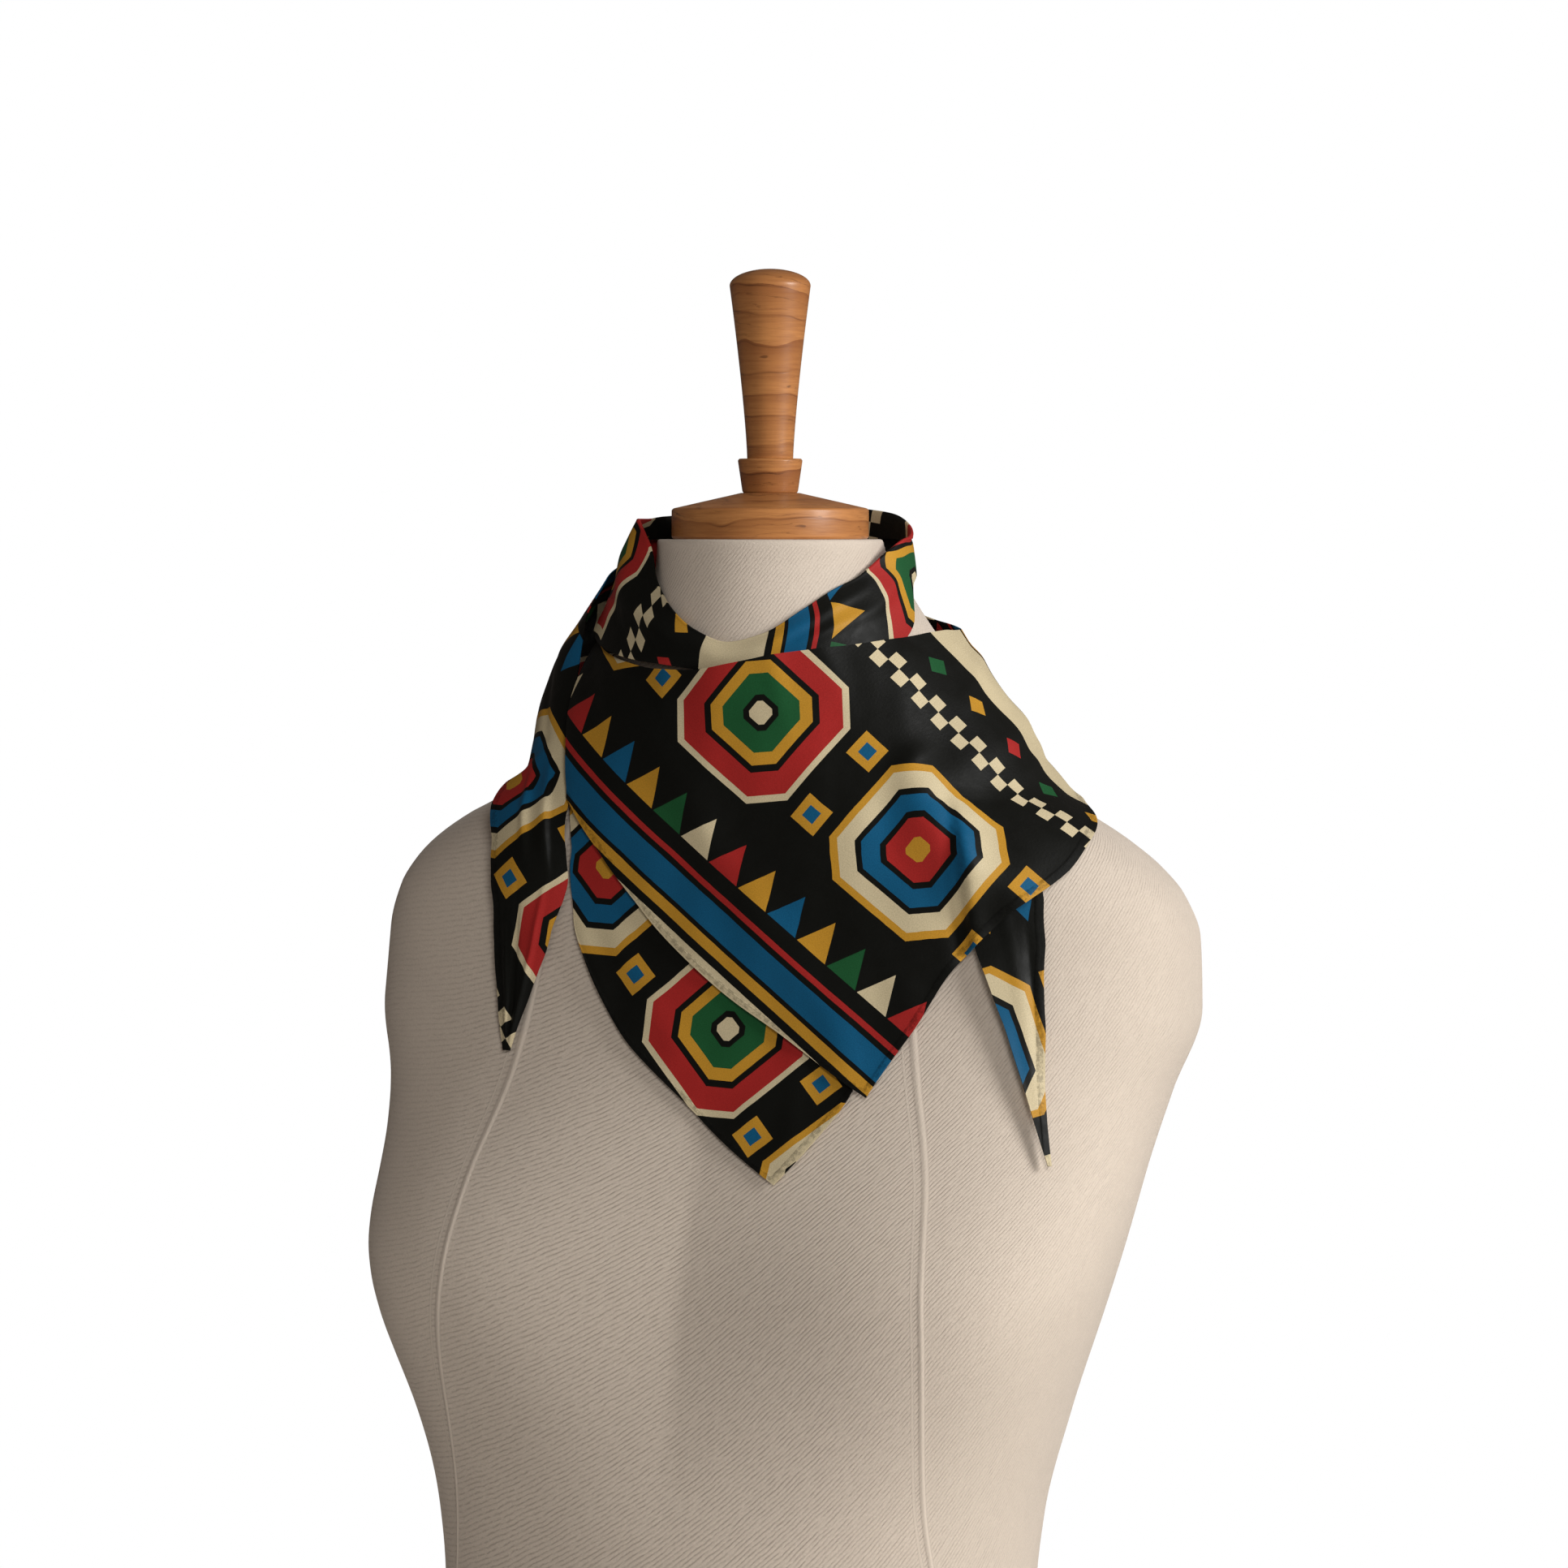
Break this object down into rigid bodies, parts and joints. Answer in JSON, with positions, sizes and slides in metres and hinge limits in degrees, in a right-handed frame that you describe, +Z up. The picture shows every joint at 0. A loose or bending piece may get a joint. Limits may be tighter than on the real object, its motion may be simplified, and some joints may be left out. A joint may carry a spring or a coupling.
{
  "type": "silk scarf on a dress form",
  "caption": "Square silk scarf folded corner to corner and worn bandana-style round the neck of a limbless dress form with a turned wooden neck cap and finial.",
  "frame": {"origin": "on the neck's upright axis, at the level of the form's flat base", "axes": "+Z up along the neck's axis, the form's front faces -Y, its wearer's left side is at +X"},
  "size_m": [0.3666, 0.267, 0.8059],
  "materials": {
    "form_torso": "matt beige stretch jersey with a fine diagonal rib",
    "neck_cap": "satin varnish",
    "finial_collar": "satin varnish",
    "finial_handle": "satin varnish",
    "neck_wrap": "soft satin silk twill, printed",
    "front_over_panel": "soft satin silk twill, printed",
    "front_under_panel": "soft satin silk twill, printed",
    "left_tail": "soft satin silk twill, printed",
    "right_tail": "soft satin silk twill, printed"
  },
  "bodies": {
    "root": {"form_torso": "form_torso", "neck_cap": "neck_cap", "finial_collar": "finial_collar", "finial_handle": "finial_handle", "neck_wrap": "neck_wrap", "front_over_panel": "front_over_panel", "front_under_panel": "front_under_panel", "left_tail": "left_tail", "right_tail": "right_tail"}
  },
  "joints": []
}
